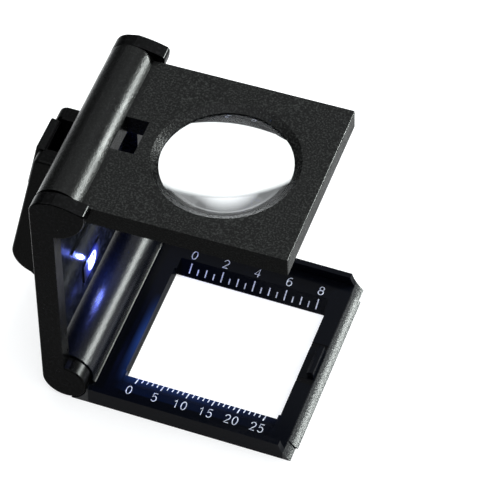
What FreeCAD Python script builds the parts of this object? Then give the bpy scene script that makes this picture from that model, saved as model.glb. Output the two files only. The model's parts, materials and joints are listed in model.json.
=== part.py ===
"""Folding magnifier with a lit base: three hinged leaves, a scale window and a battery housing.

Frame, in millimetres: the origin is on the underside of the base, straight below the lower
hinge axis and half-way across the width. +X runs along the base to its free end, +Y to the side
with the inch scale and +Z up. The part is modelled standing open: base flat, upright vertical,
lens plate held out over the window.
"""
import FreeCAD, Part
import math
import os

from FreeCAD import Vector

# ---- driving dimensions -------------------------------------------------------------------

HALF_WIDTH = 21.0            # half of the width over the hinge ears
EAR = 2.8                    # thickness of an ear and of the rail behind it
SIDE_GAP = 0.3               # play between a hinge barrel and the ears
EAR_INNER = HALF_WIDTH - EAR
BARREL_HALF = EAR_INNER - SIDE_GAP
GAP = 0.15                   # play between curved faces that pass each other

LOWER_AXIS_Z = 4.15          # hinge between the base and the upright
UPPER_AXIS_Z = 50.75         # hinge between the upright and the lens plate
LOWER_BARREL_R = 4.4
UPPER_BARREL_R = 4.5
LOWER_EAR_R = 4.1
PIN_R = 1.0
PIN_RUNNING_GAP = 0.05
PIN_SEAT_GAP = 0.02
PIN_HALF = 19.95

FLOOR = 1.8                  # thickness of the base floor
WALL_TOP = 3.95
WALL = 1.1
BASE_END = 44.3              # free end of the floor and the walls
WINDOW_X = (9.2, 38.85)      # window at the underside
WINDOW_DRAFT = 0.35          # the window is this much longer at each end on top
WINDOW_Y = (-13.1, 12.65)
BEVEL_RUN = 2.74             # width of the slopes that carry the scale marks
BEVEL_FOOT = 0.3             # height of the slopes at the window
NEAR_STRIP_X = (9.4, 38.5)   # the floor beside the near scale lies slightly lower
NEAR_STRIP_TOP = 1.6
TONGUE_HALF = 3.6            # half width of the latch tongue
TONGUE_SLOT = 1.2
LATCH_X = (41.05, 42.25)
LATCH_HALF = 3.3
LATCH_TOP = 3.4

BACK = -4.4                  # rear face of the upright
SKIN = 1.2                   # thickness of the rear skin
PANEL_X = (-3.2, -2.7)       # inner panel, in front of the skin
SKIN_Z = (8.4, 46.5)
PANEL_Z = (8.7, 46.2)
EAR_TOP = 55.05
EAR_ARC_R = 7.65              # underside of the upper ears
EAR_ARC_CENTRE = (-1.7, 53.2)

PLATE_TILT = 1.33            # the open lens plate rises this many degrees to its free end
PLATE_REACH = 41.9
PLATE_TOP = 1.92             # plate faces, measured from the upper hinge axis
PLATE_BOTTOM = -2.15
SLOT_X = (4.1, 8.55)
SLOT_HALF = 3.9
LENS_X = 24.3
LENS_R = 12.5
LENS_EDGE = (-0.9, 0.2)      # height of the lens rim
LENS_RISE = 3.5              # how far the upper face bulges above the rim
LENS_DROP = 1.3              # how far the lower face bulges below the rim
BEZEL_R = (13.3, 11.85)      # cone round the lens, at the plate's face and at its foot
BEZEL_FOOT = 0.85
SEAT_R = 12.55
SEAT_TOP = 0.68

HOUSING_HALF = 6.9           # battery housing on the back of the upright
HOUSING_TOP = 47.5
HOUSING_BOTTOM = 11.6
BULGE = (-10.3, 19.5, 5.1)   # centre and radius of the housing's round lower end
TAPER = 12.2                 # lean of the housing's back, in degrees from vertical
CHANNEL_HALF = 3.75
GROOVE_HALF = 4.3
CELL_R = 3.95
CELL_THICK = 3.55
CELL_PITCH = 3.6
CELL_CENTRE = (-9.2, 19.9)
CHAMBER_R = 4.05
CHAMBER_HALF = 5.8
CHAMBER_RISE = (0.65, 3.2)   # how far the chamber runs up beyond the cells, in X and Z

SCREW_SPOTS = ((48.2, 2.4), (6.6, 2.2))   # height and forward reach of the cap screws
SCREW_R = 0.78
SCREW_HEAD_R = 1.1
SCREW_HEAD = 0.8

LED_Z = 14.2
LED_R = 1.5
LED_TIP = -2.45

EDGE_ROUND = 0.3


# ---- small helpers ------------------------------------------------------------------------

def box(x, y, z):
    """A block between two values on each axis."""
    size = Part.makeBox(x[1] - x[0], y[1] - y[0], z[1] - z[0])
    size.translate(Vector(x[0], y[0], z[0]))
    return size


def across(x, z, radius, y):
    """A cylinder along Y."""
    return Part.makeCylinder(radius, y[1] - y[0], Vector(x, y[0], z), Vector(0, 1, 0))


def forward(y, z, radius, x):
    """A cylinder along X."""
    return Part.makeCylinder(radius, x[1] - x[0], Vector(x[0], y, z), Vector(1, 0, 0))


def upward(x, y, radius, z):
    """A cylinder along Z."""
    return Part.makeCylinder(radius, z[1] - z[0], Vector(x, y, z[0]), Vector(0, 0, 1))


def point(x, z):
    return Vector(x, 0, z)


def line(start, end):
    return Part.LineSegment(point(*start), point(*end)).toShape()


def arc(start, middle, end):
    return Part.Arc(point(*start), point(*middle), point(*end)).toShape()


def on_circle(centre, radius, degrees):
    turn = math.radians(degrees)
    return (centre[0] + radius * math.cos(turn), centre[1] + radius * math.sin(turn))


def slab(edges, y):
    """A side outline in the XZ plane, given thickness from y[0] to y[1]."""
    face = Part.Face(Part.Wire(edges))
    face.translate(Vector(0, y[0], 0))
    return face.extrude(Vector(0, y[1] - y[0], 0))


def span(side, inner, outer):
    """A range of Y on the +Y side (side = 1) or its mirror on the -Y side (side = -1)."""
    return (inner, outer) if side > 0 else (-outer, -inner)


def rounded(shape, radius, chosen):
    """Round the edges that the test picks out."""
    edges = [edge for edge in shape.Edges if chosen(edge)]
    return shape.makeFillet(radius, edges)


def save(shape, name):
    shape.exportStep(os.path.join("parts", name + ".step"))


# ---- base ---------------------------------------------------------------------------------

def closed_barrel_axis():
    """Where the upper hinge axis lies, in X, when the upright is folded down on the base."""
    return UPPER_AXIS_Z - LOWER_AXIS_Z


def base_wall(side):
    return box((0, BASE_END), span(side, HALF_WIDTH - WALL, HALF_WIDTH), (0, WALL_TOP))


def free_end_cuts():
    """Hollows across the free end that take the lens barrel and the upper ears when closed."""
    axis_x = closed_barrel_axis()
    cuts = [across(axis_x, LOWER_AXIS_Z, UPPER_BARREL_R + GAP, (-EAR_INNER, EAR_INNER))]
    ear_x = EAR_ARC_CENTRE[1] - LOWER_AXIS_Z
    ear_z = LOWER_AXIS_Z - EAR_ARC_CENTRE[0]
    for side in (-1, 1):
        y = span(side, BARREL_HALF + 0.05, HALF_WIDTH + 1)
        cuts.append(across(ear_x, ear_z, EAR_ARC_R + GAP, y))
    return cuts


def latch():
    """The hooked tab that snaps into the slot of the lens plate."""
    x0, x1 = LATCH_X
    hook = 0.35
    edges = [line((x0, FLOOR - 0.2), (x0, LATCH_TOP - 0.9)),
             line((x0, LATCH_TOP - 0.9), (x0 - hook, LATCH_TOP - 0.5)),
             line((x0 - hook, LATCH_TOP - 0.5), (x0 + 0.2, LATCH_TOP)),
             line((x0 + 0.2, LATCH_TOP), (x1 - 0.2, LATCH_TOP)),
             line((x1 - 0.2, LATCH_TOP), (x1, FLOOR - 0.2)),
             line((x1, FLOOR - 0.2), (x0, FLOOR - 0.2))]
    return slab(edges, (-LATCH_HALF, LATCH_HALF))


def base_frame():
    floor = box((0, BASE_END), (-HALF_WIDTH, HALF_WIDTH), (0, FLOOR))
    barrel = across(0, LOWER_AXIS_Z, LOWER_BARREL_R, (-BARREL_HALF, BARREL_HALF))
    foot = box((0, LOWER_BARREL_R), (-BARREL_HALF, BARREL_HALF), (0, LOWER_AXIS_Z))
    frame = floor.multiFuse([base_wall(-1), base_wall(1), barrel, foot, latch()])
    below = box((-10, 60), (-30, 30), (-10, 0))
    bore = across(0, LOWER_AXIS_Z, PIN_R + PIN_RUNNING_GAP, (-30, 30))
    cuts = [below, window(), bore] + free_end_cuts()
    for side in (-1, 1):
        cuts.append(across(0, LOWER_AXIS_Z, LOWER_EAR_R + GAP + 0.05,
                           span(side, BARREL_HALF, HALF_WIDTH + 1)))
        cuts.append(box((WINDOW_X[1] - 1, LATCH_X[1] + 0.1),
                        span(side, TONGUE_HALF, TONGUE_HALF + TONGUE_SLOT), (-1, FLOOR + 1)))
        cuts.append(window_bevel(side))
    cuts.append(box(NEAR_STRIP_X, (WALL - HALF_WIDTH, WINDOW_Y[0]), (NEAR_STRIP_TOP, FLOOR + 1)))
    return frame.cut(cuts).removeSplitter()


def window():
    """The measuring window: square to the scales, and drafted at its two ends."""
    draft = WINDOW_DRAFT / FLOOR
    low = (WINDOW_X[0] + draft, WINDOW_X[1] - draft)
    high = (WINDOW_X[0] - draft * WALL_TOP, WINDOW_X[1] + draft * WALL_TOP)
    edges = [line((low[0], -1), (high[0], WALL_TOP)),
             line((high[0], WALL_TOP), (high[1], WALL_TOP)),
             line((high[1], WALL_TOP), (low[1], -1)),
             line((low[1], -1), (low[0], -1))]
    return slab(edges, WINDOW_Y)


def window_bevel(side):
    """What is taken off to slope one long side of the window down to the work."""
    window_y, top = (WINDOW_Y[1], FLOOR) if side > 0 else (WINDOW_Y[0], NEAR_STRIP_TOP)
    slope = (top - BEVEL_FOOT) / BEVEL_RUN
    inner = window_y - side * 0.5
    outer = window_y + side * (BEVEL_RUN + 1)
    corners = [(inner, BEVEL_FOOT - slope * 0.5), (outer, top + slope), (inner, top + slope)]
    ring = [Vector(WINDOW_X[0], y, z) for y, z in corners]
    face = Part.Face(Part.makePolygon(ring + ring[:1]))
    return face.extrude(Vector(WINDOW_X[1] - WINDOW_X[0], 0, 0))


# ---- upright ------------------------------------------------------------------------------

def rail(side):
    """One side of the rear shell, from the table to the top, behind the hinge axes."""
    low = LOWER_AXIS_Z - LOWER_EAR_R
    heel_z = low - BACK
    edges = [arc((0, low), on_circle((0, heel_z), -BACK, 225), (BACK, heel_z)),
             line((BACK, heel_z), (BACK, EAR_TOP - 3.2)),
             arc((BACK, EAR_TOP - 3.2), (-3.4, EAR_TOP - 1.4), (-1.9, EAR_TOP - 0.5)),
             line((-1.9, EAR_TOP - 0.5), (0, EAR_TOP)),
             line((0, EAR_TOP), (0, low))]
    y = span(side, EAR_INNER, HALF_WIDTH)
    outer = side * HALF_WIDTH
    body = slab(edges, y)
    return rounded(body, EDGE_ROUND, lambda edge: lies_on_side(edge, outer)
                   and edge.BoundBox.XMin < -1e-3)


def lies_on_side(edge, y):
    return all(abs(vertex.Point.y - y) < 1e-6 for vertex in edge.Vertexes)


def pin_seats(side):
    """Blind holes in the ears for both hinge pins."""
    y = span(side, EAR_INNER - 1, 20.0)
    return [across(0, height, PIN_R + PIN_SEAT_GAP, y) for height in (LOWER_AXIS_Z, UPPER_AXIS_Z)]


def screw_places():
    """Side, height and forward reach of each cap screw."""
    return [(side * (EAR_INNER + EAR / 2), height, reach)
            for side in (-1, 1) for height, reach in SCREW_SPOTS]


def rear_shell():
    skin = box((BACK, BACK + SKIN), (-EAR_INNER - 0.5, EAR_INNER + 0.5), SKIN_Z)
    shell = skin.multiFuse([rail(-1), rail(1)])
    cuts = pin_seats(-1) + pin_seats(1)
    for y, z, reach in screw_places():
        cuts.append(forward(y, z, SCREW_R + 0.1, (BACK - 1, 1)))
        cuts.append(forward(y, z, SCREW_HEAD_R + 0.05, (BACK - 1, BACK + SCREW_HEAD + 0.1)))
    cuts.append(forward(0, LED_Z, LED_R + 0.1, (BACK - 1, 0)))
    cuts.append(box((BACK - 1, 0), (-2.6, 2.6), (12.9, LED_Z)))
    return shell.cut(cuts).removeSplitter()


def inner_panel():
    panel = box(PANEL_X, (-EAR_INNER + 0.1, EAR_INNER - 0.1), PANEL_Z)
    x = (PANEL_X[1] - 0.1, PANEL_X[1] + 0.2)
    ribs = [box(x, (-8.3, 8.3), (25.1, 25.5)),
            box(x, (-17.0, -16.6), (11.0, 44.0)),
            box(x, (16.6, 17.0), (11.0, 44.0))]
    panel = panel.multiFuse(ribs)
    return panel.cut(forward(0, LED_Z, LED_R + 0.1, (-10, 10))).removeSplitter()


def upper_cap(side):
    """Front half of an upper ear: a D that also guards the end of the lens barrel."""
    foot_z = EAR_ARC_CENTRE[1] - math.sqrt(EAR_ARC_R ** 2 - EAR_ARC_CENTRE[0] ** 2)
    nose = on_circle(EAR_ARC_CENTRE, EAR_ARC_R, 4.5)
    chin = on_circle(EAR_ARC_CENTRE, EAR_ARC_R, -35.0)
    edges = [arc((0, EAR_TOP), (2.7, EAR_TOP - 0.35), nose),
             arc(nose, chin, (0, foot_z)),
             line((0, foot_z), (0, EAR_TOP))]
    body = slab(edges, span(side, EAR_INNER, HALF_WIDTH))
    body = rounded(body, 0.8, lambda edge: edge.BoundBox.XMin > 5)
    return cap(body, side)


def lower_cap(side):
    """Front half of a lower ear."""
    centre = (0, LOWER_AXIS_Z)
    top = on_circle(centre, LOWER_EAR_R, 90)
    bottom = on_circle(centre, LOWER_EAR_R, -90)
    edges = [arc(top, on_circle(centre, LOWER_EAR_R, 0), bottom), line(bottom, top)]
    return cap(slab(edges, span(side, EAR_INNER, HALF_WIDTH)), side)


def cap(body, side):
    """Round the outer rim of a cap, away from its seam, and bore it for its pin and screw."""
    outer = side * HALF_WIDTH
    body = rounded(body, EDGE_ROUND, lambda edge: lies_on_side(edge, outer)
                   and edge.BoundBox.XMax > 1e-3)
    cuts = pin_seats(side)
    for y, z, reach in screw_places():
        cuts.append(forward(y, z, SCREW_R + 0.02, (-1, reach + 0.1)))
    return body.cut(cuts)


def cap_screw(y, z, reach):
    head = forward(y, z, SCREW_HEAD_R, (BACK, BACK + SCREW_HEAD))
    shank = forward(y, z, SCREW_R, (BACK + SCREW_HEAD, reach))
    drive = []
    for wide, tall in ((0.75, 0.14), (0.14, 0.75)):
        drive.append(box((BACK - 1, BACK + 0.45), (y - wide, y + wide), (z - tall, z + tall)))
    return head.fuse(shank).cut(drive).removeSplitter()


def hinge_pin(height):
    pin = across(0, height, PIN_R, (-PIN_HALF, PIN_HALF))
    return rounded(pin, 0.2, lambda edge: edge.Closed)


# ---- battery housing and lighting -----------------------------------------------------------

def back_line_foot():
    """Where the straight back of the housing leaves its round lower end."""
    return on_circle(BULGE[:2], BULGE[2], 180 - TAPER)


def up_the_back(distance):
    foot = back_line_foot()
    lean = math.radians(TAPER)
    return (foot[0] + distance * math.sin(lean), foot[1] + distance * math.cos(lean))


def on_the_back(shape):
    """Move a shape drawn with x inward and z up the leaning back to its place."""
    foot = back_line_foot()
    shape.rotate(Vector(0, 0, 0), Vector(0, 1, 0), TAPER)
    shape.translate(Vector(foot[0], 0, foot[1]))
    return shape


def housing_outline():
    foot = back_line_foot()
    heel = on_circle(BULGE[:2], BULGE[2], 250)
    shoulder = up_the_back(25.8)
    crown = (shoulder[0] + 1.6, HOUSING_TOP)
    edges = [line((BACK, HOUSING_BOTTOM), (-9.0, HOUSING_BOTTOM)),
             line((-9.0, HOUSING_BOTTOM), heel),
             arc(heel, on_circle(BULGE[:2], BULGE[2], 205), foot),
             line(foot, shoulder),
             arc(shoulder, (shoulder[0] + 0.55, HOUSING_TOP - 0.5), crown),
             line(crown, (BACK, HOUSING_TOP)),
             line((BACK, HOUSING_TOP), (BACK, HOUSING_BOTTOM))]
    return edges


def cell_chamber():
    x, z = CELL_CENTRE
    rise_x, rise_z = CHAMBER_RISE
    y = (-CHAMBER_HALF, CHAMBER_HALF)
    low = across(x, z, CHAMBER_R, y)
    high = across(x + rise_x, z + rise_z, CHAMBER_R, y)
    lean = math.degrees(math.atan2(rise_x, rise_z))
    length = math.hypot(rise_x, rise_z)
    between = box((-CHAMBER_R, CHAMBER_R), y, (0, length))
    between.rotate(Vector(0, 0, 0), Vector(0, 1, 0), lean)
    between.translate(Vector(x, 0, z))
    return low.multiFuse([high, between])


def battery_housing():
    half = HOUSING_HALF
    body = slab(housing_outline(), (-half, half))
    body = rounded(body, 0.5, lambda edge: (lies_on_side(edge, half) or lies_on_side(edge, -half))
                   and edge.BoundBox.XMin < BACK - 0.5)
    cuts = [cell_chamber(),
            on_the_back(box((-3, 0.95), (-CHANNEL_HALF, CHANNEL_HALF), (-9, 30))),
            on_the_back(box((0.4, 1.1), (-GROOVE_HALF, GROOVE_HALF), (-9, 30))),
            on_the_back(box((0.9, 4.0), (-3.4, 3.4), (-0.8, 7.4))),
            on_the_back(box((0.9, 1.9), (-CHANNEL_HALF, CHANNEL_HALF), (13.4, 30))),
            box((-8.75, BACK + 1), (-3.7, 3.7), (29.0, 60)),
            box((-10.7, BACK + 1), (-3.7, 3.7), (29.0, 41.0)),
            box((-5.5, BACK + 1), (-CHAMBER_HALF, CHAMBER_HALF), (28.4, 42.6)),
            forward(0, LED_Z, LED_R + 0.4, (-8.4, BACK + 1)),
            box((-8.4, BACK + 1), (-2.7, 2.7), (LED_Z - 0.6, LED_Z + 0.6))]
    for side in (-1, 1):
        cuts.append(box((-5.0, BACK + 1), span(side, 1.7, 2.5), (13.6, 29.0)))
        cuts.append(box((-5.8, BACK + 1), span(side, 5.35, CHAMBER_HALF), (18.8, 31.0)))
    return body.cut(cuts).removeSplitter()


def sliding_cover(z, flange_z, thickness, proud):
    """A plate in the channel, held by flanges that run in the grooves of the cheeks."""
    plate = box((-proud, thickness), (-3.65, 3.65), z)
    flange = box((0.45, 1.05), (-4.2, 4.2), flange_z)
    return plate.fuse(flange)


def battery_door():
    door = sliding_cover((-0.9, 12.6), (-0.9, 12.6), 0.9, 0.0)
    grips = [box((-1, 0.3), (-2.6, 2.6), (z, z + 0.5)) for z in (1.0, 2.0, 3.0)]
    return on_the_back(door.cut(grips).removeSplitter())


def switch_slider():
    slider = sliding_cover((16.2, 27.1), (16.6, 26.4), 0.8, 0.7)
    slider = rounded(slider, 0.3, lambda edge: edge.BoundBox.XMax < -0.69)
    grips = [box((-1, -0.35), (-2.8, 2.8), (z, z + 0.55)) for z in (18.2, 19.5, 20.8, 22.1, 23.4)]
    fork = box((0.6, 2.6), (-1.6, 1.6), (17.2, 20.6))
    fork = fork.cut(box((1.05, 4.0), (-0.75, 0.75), (17.9, 19.9)))
    return on_the_back(slider.cut(grips).fuse(fork).removeSplitter())


def switch_nub():
    """The switch's own lever, carried by the fork of the thumb slider."""
    return on_the_back(box((1.1, 5.0), (-0.7, 0.7), (17.95, 19.85)))


def button_cell(y):
    x, z = CELL_CENTRE
    half = CELL_THICK / 2
    can = rounded(across(x, z, CELL_R, (y - half + 0.3, y + half)), 0.3,
                  lambda edge: edge.Closed)
    cap_disc = across(x, z, 2.95, (y - half, y - half + 0.5))
    return can.fuse(cap_disc).removeSplitter()


def battery_contact(side):
    """A stamped strip that presses on the end of the cell stack and runs up to the board."""
    x, z = CELL_CENTRE
    y = span(side, 5.45, 5.7)
    pad = across(x, z, 3.0, y)
    arm = box((x, -4.8), y, (z - 0.8, z + 2.4))
    riser = box((-5.5, -4.8), y, (z + 1.0, 28.7))
    return pad.multiFuse([arm, riser]).removeSplitter()


def circuit_board():
    return box((-5.25, -4.45), (-5.6, 5.6), (28.75, 42.3))


def resistor():
    body = box((-5.9, -5.25), (-1.0, 1.0), (29.9, 31.2))
    ends = [box((-5.95, -5.25), y, (29.85, 31.25)) for y in ((-1.1, -0.7), (0.7, 1.1))]
    return body.multiFuse(ends).removeSplitter()


def switch_housing():
    can = box((-7.9, -5.25), (-3.0, 3.0), (32.2, 41.9))
    window = on_the_back(box((2.0, 5.9), (-1.0, 1.0), (14.65, 20.15)))
    return can.cut(window)


def led_bulb():
    shoulder = LED_TIP - LED_R
    stem = forward(0, LED_Z, LED_R, (-6.7, shoulder))
    dome = Part.makeSphere(LED_R, Vector(shoulder, 0, LED_Z))
    dome = dome.common(forward(0, LED_Z, LED_R + 1, (shoulder, shoulder + 3)))
    flange = forward(0, LED_Z, LED_R + 0.25, (-7.4, -6.7))
    return stem.multiFuse([dome, flange]).removeSplitter()


def led_lead(side):
    """One leg of the bulb: back, out past the bulb, forward and up to the board."""
    thick = 0.2
    y0, y1 = side * 0.6, side * 2.1
    runs = [box((-7.9, -7.4), (y0 - thick, y0 + thick), (LED_Z - thick, LED_Z + thick)),
            box((-8.1, -7.7), (min(y0, y1) - thick, max(y0, y1) + thick),
                (LED_Z - thick, LED_Z + thick)),
            box((-8.1, -4.5), (y1 - thick, y1 + thick), (LED_Z - thick, LED_Z + thick)),
            box((-4.9, -4.5), (y1 - thick, y1 + thick), (LED_Z - thick, 28.7))]
    return runs[0].multiFuse(runs[1:]).removeSplitter()


def led_bezel():
    """A thin frame on the inner panel, round the bulb."""
    x = (PANEL_X[1], PANEL_X[1] + 0.25)
    frame = box(x, (-3.85, 3.85), (11.9, 16.5))
    return frame.cut(forward(0, LED_Z, LED_R + 0.1, (-10, 10)))


# ---- lens plate -----------------------------------------------------------------------------

def opened(shape):
    """Carry a shape from the hinge's own frame to the open, slightly raised plate."""
    shape.rotate(Vector(0, 0, 0), Vector(0, 1, 0), -PLATE_TILT)
    shape.translate(Vector(0, 0, UPPER_AXIS_Z))
    return shape


def lens_plate():
    y = (-BARREL_HALF, BARREL_HALF)
    leaf = box((0, PLATE_REACH), y, (PLATE_BOTTOM, PLATE_TOP))
    leaf = rounded(leaf, EDGE_ROUND, lambda edge: edge.BoundBox.XMin > 1)
    barrel = across(0, 0, UPPER_BARREL_R, y)
    plate = leaf.fuse(barrel)
    depth = PLATE_TOP - BEZEL_FOOT
    cone = Part.makeCone(BEZEL_R[1], BEZEL_R[0], depth, Vector(LENS_X, 0, BEZEL_FOOT))
    cuts = [cone,
            upward(LENS_X, 0, BEZEL_R[1], (SEAT_TOP - 0.1, BEZEL_FOOT + 0.01)),
            upward(LENS_X, 0, SEAT_R, (PLATE_BOTTOM - 1, SEAT_TOP)),
            box(SLOT_X, (-SLOT_HALF, SLOT_HALF), (-10, 10)),
            across(0, 0, PIN_R + PIN_RUNNING_GAP, (-30, 30))]
    return opened(plate.cut(cuts).removeSplitter())


def lens_glass():
    """A strong lens: two spherical caps on a short round rim, the upper one the steeper."""
    rim = upward(LENS_X, 0, LENS_R, (-10, 10))
    low, high = LENS_EDGE
    top_r = sphere_radius(LENS_RISE)
    bottom_r = sphere_radius(LENS_DROP)
    top = Part.makeSphere(top_r, Vector(LENS_X, 0, high + LENS_RISE - top_r))
    bottom = Part.makeSphere(bottom_r, Vector(LENS_X, 0, low - LENS_DROP + bottom_r))
    return opened(rim.common(top).common(bottom))


def sphere_radius(rise):
    """Radius of the sphere whose cap spans the lens and is this high."""
    return (LENS_R ** 2 + rise ** 2) / (2 * rise)


def lens_retaining_ring():
    ring = upward(LENS_X, 0, SEAT_R - 0.05, (-2.05, -1.12))
    ring = ring.cut(Part.makeCone(12.1, 11.6, 1.3, Vector(LENS_X, 0, -2.15)))
    notches = [box((-14, 14), (-0.7, 0.7), (-3, -1.55)), box((-0.7, 0.7), (-14, 14), (-3, -1.55))]
    for notch in notches:
        notch.translate(Vector(LENS_X, 0, 0))
    return opened(ring.cut(notches))


# ---- all nodes ------------------------------------------------------------------------------

def main():
    os.makedirs("parts", exist_ok=True)
    save(base_frame(), "base_frame")
    save(rear_shell(), "rear_shell")
    save(inner_panel(), "inner_panel")
    for side, name in ((-1, "near"), (1, "far")):
        save(upper_cap(side), "upper_hinge_cap_" + name)
        save(lower_cap(side), "lower_hinge_cap_" + name)
    save(Part.Compound([cap_screw(*place) for place in screw_places()]), "cap_screws")
    save(hinge_pin(LOWER_AXIS_Z), "base_hinge_pin")
    save(hinge_pin(UPPER_AXIS_Z), "lens_hinge_pin")
    save(battery_housing(), "battery_housing")
    save(battery_door(), "battery_door")
    save(switch_slider(), "switch_slider")
    save(switch_nub(), "switch_nub")
    save(switch_housing(), "switch_housing")
    for number, place in enumerate((-1, 0, 1), 1):
        save(button_cell(place * CELL_PITCH), "button_cell_" + str(number))
    save(battery_contact(1), "battery_contact_plus")
    save(battery_contact(-1), "battery_contact_minus")
    save(circuit_board(), "circuit_board")
    save(resistor(), "resistor")
    save(led_bulb(), "led_bulb")
    save(Part.Compound([led_lead(-1), led_lead(1)]), "led_leads")
    save(led_bezel(), "led_bezel")
    save(lens_plate(), "lens_plate")
    save(lens_glass(), "lens_glass")
    save(lens_retaining_ring(), "lens_retaining_ring")


main()
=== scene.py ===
"""Looks for the folding magnifier: materials, printed scales, lamp glow, floor, lights, camera."""
import json
import math

import bmesh
import bpy
from mathutils import Matrix, Vector

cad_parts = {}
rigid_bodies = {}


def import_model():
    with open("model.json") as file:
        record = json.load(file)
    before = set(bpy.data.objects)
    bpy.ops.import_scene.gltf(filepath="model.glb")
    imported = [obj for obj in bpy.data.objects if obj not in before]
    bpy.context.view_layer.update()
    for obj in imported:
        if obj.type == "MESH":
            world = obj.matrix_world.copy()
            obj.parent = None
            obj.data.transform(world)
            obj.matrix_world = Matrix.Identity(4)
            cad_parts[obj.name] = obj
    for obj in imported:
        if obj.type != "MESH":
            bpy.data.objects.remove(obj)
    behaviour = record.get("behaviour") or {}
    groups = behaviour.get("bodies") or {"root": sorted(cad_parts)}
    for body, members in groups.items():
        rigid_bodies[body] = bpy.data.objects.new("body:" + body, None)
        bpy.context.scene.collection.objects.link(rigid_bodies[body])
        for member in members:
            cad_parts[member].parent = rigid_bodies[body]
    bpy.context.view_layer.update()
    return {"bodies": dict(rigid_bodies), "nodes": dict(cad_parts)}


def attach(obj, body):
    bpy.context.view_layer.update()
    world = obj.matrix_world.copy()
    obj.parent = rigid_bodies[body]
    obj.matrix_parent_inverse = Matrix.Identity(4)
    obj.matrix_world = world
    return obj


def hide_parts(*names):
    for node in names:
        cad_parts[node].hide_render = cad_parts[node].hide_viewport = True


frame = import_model()
NODES = frame["nodes"]
MM = 0.001

# ---- camera ---------------------------------------------------------------------------------

CAMERA_TARGET = Vector((25.816, 7.702, 20.0)) * MM
CAMERA_DISTANCE = 581.25 * MM
CAMERA_AZIMUTH = math.radians(19.847)
CAMERA_ELEVATION = math.radians(51.087)
CAMERA_ROLL = math.radians(-0.105)
CAMERA_LENS = 228.59
SENSOR_WIDTH = 36


def use_plain_colours():
    """Show the light's values as they are, so that black plastic stays black on a white ground."""
    bpy.context.scene.view_settings.view_transform = "Standard"


def make_camera():
    az, el = CAMERA_AZIMUTH, CAMERA_ELEVATION
    back = Vector((math.sin(az) * math.cos(el), -math.cos(az) * math.cos(el), math.sin(el)))
    right = Vector((math.cos(az), math.sin(az), 0))
    up = back.cross(right)
    turn = Matrix((right, up, back)).transposed()
    data = bpy.data.cameras.new("camera")
    data.sensor_width = SENSOR_WIDTH
    data.lens = CAMERA_LENS
    data.clip_start = 0.01
    data.clip_end = 20
    camera = bpy.data.objects.new("camera", data)
    bpy.context.scene.collection.objects.link(camera)
    turn = turn @ Matrix.Rotation(CAMERA_ROLL, 3, "Z")
    place = Matrix.Translation(CAMERA_TARGET + back * CAMERA_DISTANCE)
    camera.matrix_world = place @ turn.to_4x4()
    bpy.context.scene.camera = camera


# ---- materials ------------------------------------------------------------------------------

PLASTIC_IOR = 1.5
MATT = 0.015                 # reflectivity of the faces that are kept dark
LAMP_PLACE = (-0.7, 0, 14.2)
# colour of the painted lamp light and painted reflection on the base
PAINTED_LAMP_BLUE = (0.012, 0.035, 0.16, 1)


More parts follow.
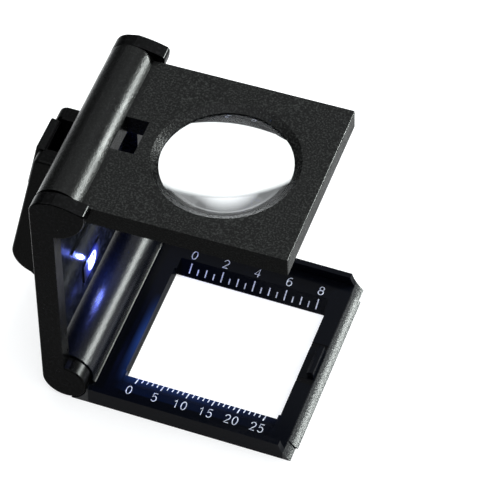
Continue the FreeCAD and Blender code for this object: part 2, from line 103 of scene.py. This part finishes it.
class Nodes:
    """A material under construction: makes nodes and joins their sockets."""

    def __init__(self, name, **surface):
        self.material = bpy.data.materials.new(name)
        self.material.use_nodes = True
        self.tree = self.material.node_tree
        self.shader = self.tree.nodes["Principled BSDF"]
        for socket, value in surface.items():
            self.shader.inputs[socket.replace("_", " ")].default_value = value

    def add(self, kind, **settings):
        """A new node. A setting is one of the node's own or one of its input values."""
        node = self.tree.nodes.new(kind)
        for key, value in settings.items():
            if hasattr(node, key):
                setattr(node, key, value)
            else:
                node.inputs[key.replace("_", " ")].default_value = value
        return node

    def join(self, source, target):
        self.tree.links.new(source, target)

    def drive(self, source, name):
        """Join a socket to the shader's input of this name."""
        self.join(source, self.shader.inputs[name])

    def coords(self):
        """The place on the object, in metres in the part's own frame."""
        return self.add("ShaderNodeTexCoord").outputs["Object"]

    def axes(self, vector):
        """The sockets X, Y and Z of a vector."""
        node = self.add("ShaderNodeSeparateXYZ")
        self.join(vector, node.inputs["Vector"])
        return node.outputs

    def facing(self):
        """The sockets X, Y and Z of the direction that the surface faces."""
        return self.axes(self.add("ShaderNodeNewGeometry").outputs["Normal"])

    def maths(self, operation, *terms):
        """The result of a Math node. Each term is a socket or a plain number."""
        node = self.add("ShaderNodeMath", operation=operation)
        for term, socket in zip(terms, node.inputs):
            if isinstance(term, (int, float)):
                socket.default_value = term
            else:
                self.join(term, socket)
        return node.outputs["Value"]

    def product(self, first, second):
        return self.maths("MULTIPLY", first, second)

    def noise(self, scale, detail=3.0, roughness=0.5):
        node = self.add("ShaderNodeTexNoise", Scale=scale, Detail=detail, Roughness=roughness)
        self.join(self.coords(), node.inputs["Vector"])
        return node.outputs["Fac"]

    def ramp(self, source, low, high, low_value, high_value):
        """Map low..high of the source on low_value..high_value, level beyond both ends."""
        node = self.add("ShaderNodeMapRange", From_Min=low, From_Max=high,
                        To_Min=low_value, To_Max=high_value)
        self.join(source, node.inputs["Value"])
        return node.outputs["Result"]

    def blend(self, factor, first, second):
        """A colour between two others."""
        node = self.add("ShaderNodeMix", data_type="RGBA")
        self.join(factor, node.inputs["Factor"])
        node.inputs["A"].default_value = (*first, 1)
        node.inputs["B"].default_value = (*second, 1)
        return node.outputs["Result"]

    def two_tone(self, source, dark, light):
        self.drive(self.blend(source, dark, light), "Base Color")

    def glow(self, strength, colour=None):
        """Light given off. A colour that varies is driven separately."""
        if colour:
            self.shader.inputs["Emission Color"].default_value = colour
        self.drive(strength, "Emission Strength")

    def sheen(self, level, matt=MATT, share=None):
        """Set the reflectivity: less on the faces towards -Y and +X, which are left matt."""
        facing = self.facing()
        side = self.ramp(facing["Y"], -0.95, -0.7, matt, level)
        front = self.ramp(facing["X"], 0.9, 0.98, level, matt)
        shine = self.maths("MINIMUM", side, front)
        if share:
            shine = self.product(shine, share)
        self.drive(shine, "Specular IOR Level")

    def bump(self, height, distance):
        node = self.add("ShaderNodeBump", Strength=1.0, Distance=distance)
        self.join(height, node.inputs["Height"])
        self.drive(node.outputs["Normal"], "Normal")


def moulded_plastic(name, shade, roughness, grain, depth, specular=0.12, spread=0.06, speck=5.0,
                    barrel=1.0):
    """Black moulded plastic, rougher on the faces that look straight up.

    grain is the size of the spark texture's pits and depth their depth, both in metres. speck is
    how much lighter the high spots are, and barrel how much of them is left round a hinge and on
    the side towards -Y: a painted shade that darkens the hinge barrel and the faces towards -Y.
    """
    make = Nodes(name, IOR=PLASTIC_IOR)
    make.sheen(specular)
    fine = make.noise(1 / grain, 3.0, 0.6)
    specks = make.ramp(fine, 0.48, 0.67, 0, 1)
    # Painted shade: the light specks are dimmed round the hinge barrel and on the faces towards
    # -Y, so these parts come out darker.
    if barrel < 1:
        along = make.axes(make.coords())["X"]
        specks = make.product(specks, make.ramp(along, 4.2 * MM, 5.2 * MM, barrel, 1))
        specks = make.product(specks, make.ramp(make.facing()["Y"], -0.97, -0.8, barrel, 1))
    low = tuple(value * 0.3 for value in shade)
    high = tuple(value * speck for value in shade)
    make.two_tone(specks, low, high)
    uneven = make.ramp(make.noise(180, 2.0), 0.3, 0.7, roughness - spread, roughness + spread)
    upward = make.ramp(make.facing()["Z"], 0.97, 0.995, 0, 0.35)
    make.drive(make.maths("ADD", uneven, upward), "Roughness")
    make.bump(fine, depth)
    return make.material


def base_plastic():
    """The base: spark texture on the barrel and the free end, polished between them."""
    make = Nodes("black_base", IOR=PLASTIC_IOR)
    place = make.axes(make.coords())
    barrel = make.ramp(place["X"], 4.6 * MM, 4.4 * MM, 0, 1)
    end = make.ramp(place["X"], 42.3 * MM, 42.5 * MM, 0, 1)
    textured = make.maths("ADD", barrel, end)
    make.sheen(0.16, 0.14, make.ramp(textured, 0, 1, 0.2, 1))
    fine = make.noise(1 / (0.3 * MM), 3.0, 0.6)
    faded = make.maths("MULTIPLY_ADD", barrel, 0.15, end)
    specks = make.product(make.ramp(fine, 0.47, 0.66, 0, 1), faded)
    make.two_tone(specks, (0.0014, 0.0018, 0.0032), (0.024, 0.026, 0.026))
    make.drive(make.ramp(textured, 0, 1, 0.2, 0.27), "Roughness")
    make.bump(make.product(fine, textured), 0.05 * MM)
    # Painted lamp light and painted reflection: a blue glow on the base beside the window and on
    # the near strip.
    lamp_sheen(make, place)
    return make.material


def lamp_sheen(make, place):
    """Painted light of the lamp: a blue glow for a painted reflection streak beside the window,
    and painted lamp light on the near strip.
    """
    off_middle = make.maths("ABSOLUTE", make.maths("ADD", place["Y"], 5 * MM))
    middle = make.ramp(off_middle, 11 * MM, 1 * MM, 0, 1)
    rise = make.ramp(place["X"], 7.3 * MM, 8.7 * MM, 0, 1)
    fall = make.ramp(place["X"], 8.7 * MM, 9.0 * MM, 1, 0)
    streak = make.product(middle, make.product(rise, fall))
    across = make.ramp(place["Y"], -13.3 * MM, -15.5 * MM, 1, 0.15)
    wall = make.ramp(place["Y"], -17.6 * MM, -17.3 * MM, 0, 1)
    window = make.ramp(place["Y"], -12.9 * MM, -13.2 * MM, 0, 1)
    start = make.ramp(place["X"], 8 * MM, 10 * MM, 0, 1)
    finish = make.ramp(place["X"], 22 * MM, 40 * MM, 0.6, 0)
    strip = make.product(make.product(across, wall), make.product(start, finish))
    make.glow(make.maths("ADD", streak, make.product(strip, window)), PAINTED_LAMP_BLUE)


def lens_glass():
    make = Nodes("optical_glass", Roughness=0.0, IOR=1.58, Transmission_Weight=1.0)
    tint = make.noise(40, 1.0)
    make.two_tone(make.ramp(tint, 0.3, 0.7, 0, 1), (0.97, 0.99, 0.99), (0.99, 1.0, 1.0))
    return make.material


def brushed_metal(name, colour, roughness):
    make = Nodes(name, Metallic=1.0)
    fine = make.noise(2500, 3.0)
    make.two_tone(fine, tuple(value * 0.8 for value in colour), colour)
    make.drive(make.ramp(fine, 0.3, 0.7, roughness - 0.07, roughness + 0.07), "Roughness")
    make.bump(fine, 0.004 * MM)
    return make.material


def white_ink():
    make = Nodes("white_print", IOR=1.45)
    wear = make.noise(3000, 2.0)
    make.two_tone(make.ramp(wear, 0.35, 0.6, 0, 1), (0.3, 0.32, 0.4), (0.62, 0.65, 0.75))
    make.drive(make.ramp(wear, 0.3, 0.7, 0.4, 0.6), "Roughness")
    return make.material


def lamp_epoxy():
    """The clear bulb, lit from inside: white at the tip, blue where the light leaks back."""
    make = Nodes("lamp_epoxy", Roughness=0.1, IOR=1.5, Emission_Strength=60.0)
    tip = make.ramp(make.axes(make.coords())["X"], -4.4 * MM, -2.6 * MM, 0, 1)
    make.drive(make.blend(tip, (0.05, 0.1, 0.9), (0.75, 0.85, 1.0)), "Emission Color")
    make.two_tone(tip, (0.6, 0.7, 0.9), (0.9, 0.95, 1.0))
    return make.material


def lamp_frame():
    """The frame round the bulb, with a painted glow: burnt out white next to it, then blue, then
    black.
    """
    make = Nodes("lamp_frame", Roughness=0.35, IOR=PLASTIC_IOR, Specular_IOR_Level=0.1)
    place = make.add("ShaderNodeVectorMath", operation="MULTIPLY_ADD")
    make.join(make.coords(), place.inputs[0])
    place.inputs[1].default_value = (0, 1, 1)
    place.inputs[2].default_value = (0, 0, -LAMP_PLACE[2] * MM)
    reach = make.add("ShaderNodeVectorMath", operation="LENGTH")
    make.join(place.outputs["Vector"], reach.inputs[0])
    distance = reach.outputs["Value"]
    make.two_tone(make.noise(900, 2.0), (0.003, 0.003, 0.004), (0.006, 0.006, 0.008))
    # Painted light: the frame glows round the bulb, white next to it, then blue, fading to its own
    # black.
    fade = make.ramp(distance, 1.6 * MM, 2.2 * MM, 0, 1)
    make.drive(make.blend(fade, (0.7, 0.8, 1.0), (0.04, 0.07, 0.9)), "Emission Color")
    core = make.ramp(distance, 1.6 * MM, 2.1 * MM, 6.0, 0.6)
    halo = make.ramp(distance, 2.1 * MM, 3.4 * MM, 1, 0)
    make.glow(make.product(core, halo))
    return make.material


def circuit_lacquer():
    make = Nodes("circuit_lacquer", IOR=1.5)
    weave = make.noise(4000, 2.0)
    make.two_tone(weave, (0.01, 0.08, 0.03), (0.03, 0.2, 0.07))
    make.drive(make.ramp(weave, 0.3, 0.7, 0.25, 0.4), "Roughness")
    return make.material


def paint_node(node, material):
    for slot in NODES[node].material_slots:
        slot.material = material


# ---- printed scales --------------------------------------------------------------------------

NEAR_EDGE = -13.1            # the window's edges, where its slopes begin
FAR_EDGE = 12.65
BEVEL_RUN = 2.74             # width of a slope
BEVEL_FOOT = 0.3             # height of a slope at the window's edge
FLOOR_TOP = 1.8
STRIP_TOP = 1.6              # top of the near strip
INK = 0.03                   # thickness of the print
INK_FOOT = 0.02              # depth of the print's foot in the plastic
INCH = 25.4
FIRST_MM_TICK = 11.42
FIRST_INCH_TICK = 11.556
MM_NUMBERS_Y = -16.98
INCH_NUMBERS_Y = 16.75
NUMBER_STROKE = 0.09         # half the thickness of a digit's stroke
NUMBER_FLATNESS = 0.25       # how flat a digit's round stroke is pressed


def bevel_height(out, top):
    """Height of the window's sloped side, this far out from the window's edge."""
    return min(BEVEL_FOOT + (top - BEVEL_FOOT) * out / BEVEL_RUN, top)


def add_piece(name, mesh, material, body):
    piece = bpy.data.objects.new(name, mesh)
    bpy.context.scene.collection.objects.link(piece)
    mesh.materials.clear()
    mesh.materials.append(material)
    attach(piece, body)
    return piece


BLOCK_FACES = ((0, 1, 3, 2), (4, 6, 7, 5), (0, 4, 5, 1), (2, 3, 7, 6), (1, 5, 7, 3), (0, 2, 6, 4))


def tick(bm, x, side, edge, top, start, length, width):
    """One printed stroke up the slope: a thin slab that follows the bevel."""
    corners = []
    for out in (start, start + length):
        y = edge + side * out
        for dx in (-width / 2, width / 2):
            for lift in (-INK_FOOT, INK):
                z = bevel_height(out, top) + lift
                corners.append(bm.verts.new((x * MM + dx * MM, y * MM, z * MM)))
    for face in BLOCK_FACES:
        bm.faces.new([corners[i] for i in face])


def mesh_from(bm, name):
    bmesh.ops.recalc_face_normals(bm, faces=bm.faces)
    mesh = bpy.data.meshes.new(name)
    bm.to_mesh(mesh)
    bm.free()
    return mesh


def millimetre_ticks():
    bm = bmesh.new()
    for n in range(26):
        length = 1.8 if n % 5 == 0 else 1.1
        tick(bm, FIRST_MM_TICK + n, -1, NEAR_EDGE, STRIP_TOP, 0.02, length, 0.2)
    return mesh_from(bm, "millimetre_ticks")


def inch_ticks():
    bm = bmesh.new()
    for k in range(17):
        length = {0: 1.75, 2: 1.35}.get(k % 4, 1.0)
        tick(bm, FIRST_INCH_TICK + INCH * k / 16, 1, FAR_EDGE, FLOOR_TOP, 0.5, length, 0.22)
    return mesh_from(bm, "inch_ticks")


def bow(cx, cy, rx, ry, start, end, count=14):
    """Points along part of an ellipse, from one angle to another."""
    points = []
    for i in range(count + 1):
        turn = math.radians(start + (end - start) * i / count)
        points.append((cx + rx * math.cos(turn), cy + ry * math.sin(turn)))
    return points


# The strokes of each digit, in a box one wide and one high
DIGITS = {
    "0": [bow(0.5, 0.5, 0.46, 0.5, 90, 450, 24)],
    "1": [[(0.15, 0.76), (0.42, 0.84), (0.55, 1.0), (0.55, 0.0)]],
    "2": [bow(0.5, 0.71, 0.45, 0.29, 170, -35) + [(0.04, 0.0), (0.98, 0.0)]],
    "4": [[(0.72, 0.0), (0.72, 1.0), (0.0, 0.3), (1.0, 0.3)]],
    "5": [[(0.92, 1.0), (0.24, 1.0), (0.12, 0.52)] + bow(0.49, 0.32, 0.46, 0.33, 130, -150)],
    "6": [bow(0.56, 0.62, 0.5, 0.38, 60, 180, 10) + bow(0.52, 0.31, 0.45, 0.32, 180, 540, 20)],
    "8": [bow(0.5, 0.75, 0.38, 0.25, 90, 450, 20), bow(0.5, 0.27, 0.46, 0.28, 90, 450, 20)],
}


def number(text, name, x, y, z, height, width, material):
    """A printed number in plain even strokes, centred on x and y."""
    curve = bpy.data.curves.new(name, "CURVE")
    curve.dimensions = "3D"
    curve.bevel_depth = NUMBER_STROKE * MM
    curve.bevel_resolution = 2
    curve.use_fill_caps = True
    pitch = 1.5 * width
    left = x - (len(text) - 1) * pitch / 2 - width / 2
    for place, digit in enumerate(text):
        for stroke in DIGITS[digit]:
            line = curve.splines.new("POLY")
            line.points.add(len(stroke) - 1)
            for point, (u, v) in zip(line.points, stroke):
                point.co = ((left + place * pitch + u * width) * MM,
                            (y + (v - 0.5) * height) * MM, 0, 1)
    flat = bpy.data.objects.new(name + "_flat", curve)
    bpy.context.scene.collection.objects.link(flat)
    graph = bpy.context.evaluated_depsgraph_get()
    mesh = bpy.data.meshes.new_from_object(flat.evaluated_get(graph))
    bpy.data.objects.remove(flat)
    mesh.transform(Matrix.Diagonal((1, 1, NUMBER_FLATNESS, 1)))
    mesh.transform(Matrix.Translation(Vector((0, 0, z * MM))))
    add_piece(name, mesh, material, "base")


def hinge_bead():
    """The thin rounded bead between the base's barrel and its floor."""
    bm = bmesh.new()
    foot_x, foot_z, radius, half_width, steps = 4.38, 1.78, 0.3, 17.6, 8
    rows = []
    for y in (-half_width, half_width):
        row = [bm.verts.new((foot_x * MM, y * MM, foot_z * MM))]
        for i in range(steps + 1):
            turn = math.radians(90 * i / steps)
            x = foot_x + radius * math.cos(turn)
            z = foot_z + radius * math.sin(turn)
            row.append(bm.verts.new((x * MM, y * MM, z * MM)))
        rows.append(row)
    near, far = rows
    for i in range(len(near)):
        k = (i + 1) % len(near)
        bm.faces.new((near[i], near[k], far[k], far[i]))
    bm.faces.new(near)
    bm.faces.new(far[::-1])
    return mesh_from(bm, "hinge_bead")


def print_scales(material):
    add_piece("scale_marks_millimetre", millimetre_ticks(), material, "base")
    add_piece("scale_marks_inch", inch_ticks(), material, "base")
    for n in range(0, 26, 5):
        number(str(n), "millimetre_number_" + str(n), FIRST_MM_TICK + n - 0.43, MM_NUMBERS_Y,
               STRIP_TOP, 1.8, 1.0, material)
    for n in range(0, 9, 2):
        number(str(n), "inch_number_" + str(n), FIRST_INCH_TICK + INCH * n / 8 - 0.1,
               INCH_NUMBERS_Y, FLOOR_TOP, 1.9, 1.05, material)


# ---- lens ------------------------------------------------------------------------------------

LENS_X = 24.3                # from the upper hinge to the middle of the lens, along the plate
LENS_R = 12.5
LENS_RIM = (-0.9, 0.2)       # bottom and top of the rim
LENS_RISE = 3.5              # height of the upper face above the rim
LENS_DROP = 1.3              # depth of the lower face below the rim
UPPER_AXIS_Z = 50.75
PLATE_TILT = 1.33            # degrees


def lens_profile(rings=40):
    """Radius and height down the lens: over the upper face, down the rim, along the lower face."""
    points = []
    for rim, rise, side in ((LENS_RIM[1], LENS_RISE, 1), (LENS_RIM[0], LENS_DROP, -1)):
        sphere = (LENS_R ** 2 + rise ** 2) / (2 * rise)
        face = []
        for i in range(1, rings + 1):
            r = LENS_R * i / rings
            face.append((r, rim + side * (rise - sphere + math.sqrt(sphere ** 2 - r ** 2))))
        points += face if side > 0 else face[::-1]
    return points, LENS_RIM[1] + LENS_RISE, LENS_RIM[0] - LENS_DROP


def sharpen_rim(bm, heights):
    """Mark the two edges where the rim meets the faces, so that they aren't shaded round."""
    for edge in bm.edges:
        ends = [vertex.co for vertex in edge.verts]
        on_rim = all(abs(math.hypot(co.x, co.y) - LENS_R) < 1e-4 for co in ends)
        level = abs(ends[0].z - ends[1].z) < 1e-6
        if on_rim and level and round(ends[0].z, 5) in heights:
            edge.smooth = False


def lens_mesh(around=160):
    """The ground lens, made in millimetres and then put in its place in the plate."""
    bm = bmesh.new()
    profile, top, bottom = lens_profile()
    loops = []
    for r, z in profile:
        loops.append([bm.verts.new((r * math.cos(math.tau * k / around),
                                    r * math.sin(math.tau * k / around), z))
                      for k in range(around)])
    poles = (bm.verts.new((0, 0, top)), bm.verts.new((0, 0, bottom)))
    for k in range(around):
        nxt = (k + 1) % around
        bm.faces.new((poles[0], loops[0][k], loops[0][nxt]))
        bm.faces.new((poles[1], loops[-1][nxt], loops[-1][k]))
        for upper, lower in zip(loops, loops[1:]):
            bm.faces.new((upper[k], lower[k], lower[nxt], upper[nxt]))
    for face in bm.faces:
        face.smooth = True
    middle = len(profile) // 2
    sharpen_rim(bm, {round(loops[k][0].co.z, 5) for k in (middle - 1, middle)})
    mesh = mesh_from(bm, "lens")
    tilt = Matrix.Rotation(math.radians(-PLATE_TILT), 4, "Y")
    raise_up = Matrix.Translation(Vector((0, 0, UPPER_AXIS_Z)))
    outward = Matrix.Translation(Vector((LENS_X, 0, 0)))
    mesh.transform(Matrix.Scale(MM, 4) @ raise_up @ tilt @ outward)
    return mesh


def make_lens(material):
    lens = add_piece("lens", lens_mesh(), material, "lens_arm")
    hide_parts("lens_glass")


# ---- stage ------------------------------------------------------------------------------------

def make_floor():
    """Paper with a painted pool of light: white and glowing close to the object, grey and hardly
    glowing further out.
    """
    bm = bmesh.new()
    half = 1.2
    for x, y in ((-half, -half), (half, -half), (half, half), (-half, half)):
        bm.verts.new((x, y, 0))
    bm.faces.new(bm.verts)
    mesh = mesh_from(bm, "floor")
    make = Nodes("floor_paper", Roughness=0.9)
    reach = make.add("ShaderNodeVectorMath", operation="LENGTH")
    make.join(make.coords(), reach.inputs[0])
    far = make.ramp(reach.outputs["Value"], 0.1, 0.18, 0, 1)
    make.two_tone(far, (0.5, 0.5, 0.5), (0.2, 0.205, 0.21))
    # Painted light: the floor's own glow is strong near the object and fades further out.
    make.glow(make.ramp(far, 0, 1, 0.6, 0.02), (1, 1, 1, 1))
    mesh.materials.append(make.material)
    floor = bpy.data.objects.new("floor", mesh)
    bpy.context.scene.collection.objects.link(floor)


def light_object(name, kind, power, colour, place):
    data = bpy.data.lights.new(name, kind)
    data.energy = power
    data.color = colour
    light = bpy.data.objects.new(name, data)
    bpy.context.scene.collection.objects.link(light)
    light.location = place
    return light


def make_sky():
    """Dim round the horizon and pale overhead, as in a dark room with a bright ceiling."""
    world = bpy.data.worlds.new("studio")
    world.use_nodes = True
    tree = world.node_tree
    place = tree.nodes.new("ShaderNodeTexCoord")
    split = tree.nodes.new("ShaderNodeSeparateXYZ")
    rise = tree.nodes.new("ShaderNodeMapRange")
    rise.inputs["From Min"].default_value = 0.45
    rise.inputs["From Max"].default_value = 0.85
    rise.inputs["To Min"].default_value = 0.12
    rise.inputs["To Max"].default_value = 2.0
    tree.links.new(place.outputs["Generated"], split.inputs["Vector"])
    tree.links.new(split.outputs["Z"], rise.inputs["Value"])
    background = tree.nodes["Background"]
    background.inputs["Color"].default_value = (0.95, 0.98, 1.0, 1)
    tree.links.new(rise.outputs["Result"], background.inputs["Strength"])
    bpy.context.scene.world = world


def make_key_light():
    place = Vector((0.64, 0.50, 0.27))
    aim = Vector((0.02, 0, 0.03))
    light = light_object("key", "AREA", 13.0, (0.94, 1.0, 0.97), place)
    light.data.shape = "RECTANGLE"
    light.data.size = 0.12
    light.data.size_y = 0.2
    light.rotation_mode = "QUATERNION"
    light.rotation_quaternion = (aim - place).to_track_quat("-Z", "Y")


def make_lamp_glow():
    """The lamp's own light, carried by the upright."""
    light = light_object("lamp_beam", "POINT", 0.014, (0.16, 0.22, 1.0), Vector(LAMP_PLACE) * MM)
    light.data.shadow_soft_size = 0.4 * MM
    light.parent = frame["bodies"]["upright"]


# ---- build --------------------------------------------------------------------------------------

def paint_nodes():
    """Give every CAD node its look. What isn't named here is steel."""
    textured = moulded_plastic("black_spark_textured", (0.0036, 0.0038, 0.0036), 0.27, 0.35 * MM,
                               0.05 * MM, 0.15, speck=6.5, barrel=0.25)
    smooth = moulded_plastic("black_smooth", (0.0008, 0.0008, 0.0009), 0.24, 0.6 * MM, 0.004 * MM,
                             0.07)
    grained = moulded_plastic("black_fine_grain", (0.001, 0.001, 0.001), 0.34, 0.3 * MM, 0.03 * MM,
                              0.07)
    inner = moulded_plastic("black_inner", (0.008, 0.009, 0.012), 0.12, 1 * MM, 0.001 * MM,
                            0.3, 0.02, 1.3)
    steel = brushed_metal("steel", (0.6, 0.6, 0.58), 0.3)
    cell = brushed_metal("cell_steel", (0.7, 0.7, 0.67), 0.22)
    looks = {"lens_plate": textured, "base_frame": base_plastic(), "rear_shell": smooth,
             "inner_panel": inner, "battery_housing": grained, "battery_door": grained,
             "switch_slider": grained, "switch_nub": inner, "led_bezel": lamp_frame(),
             "lens_retaining_ring": inner, "circuit_board": circuit_lacquer(),
             "resistor": smooth, "led_bulb": lamp_epoxy()}
    for node in NODES:
        if node.startswith(("upper_hinge", "lower_hinge")):
            looks[node] = smooth
        if node.startswith("button_cell"):
            looks[node] = cell
    for node in NODES:
        paint_node(node, looks.get(node, steel))


def bead_plastic():
    return moulded_plastic("black_bead", (0.004, 0.004, 0.004), 0.3, 0.5 * MM, 0.004 * MM, 0.2)


use_plain_colours()
make_camera()
paint_nodes()
make_lens(lens_glass())
add_piece("hinge_bead", hinge_bead(), bead_plastic(), "base")
print_scales(white_ink())
make_floor()
make_sky()
make_key_light()
make_lamp_glow()
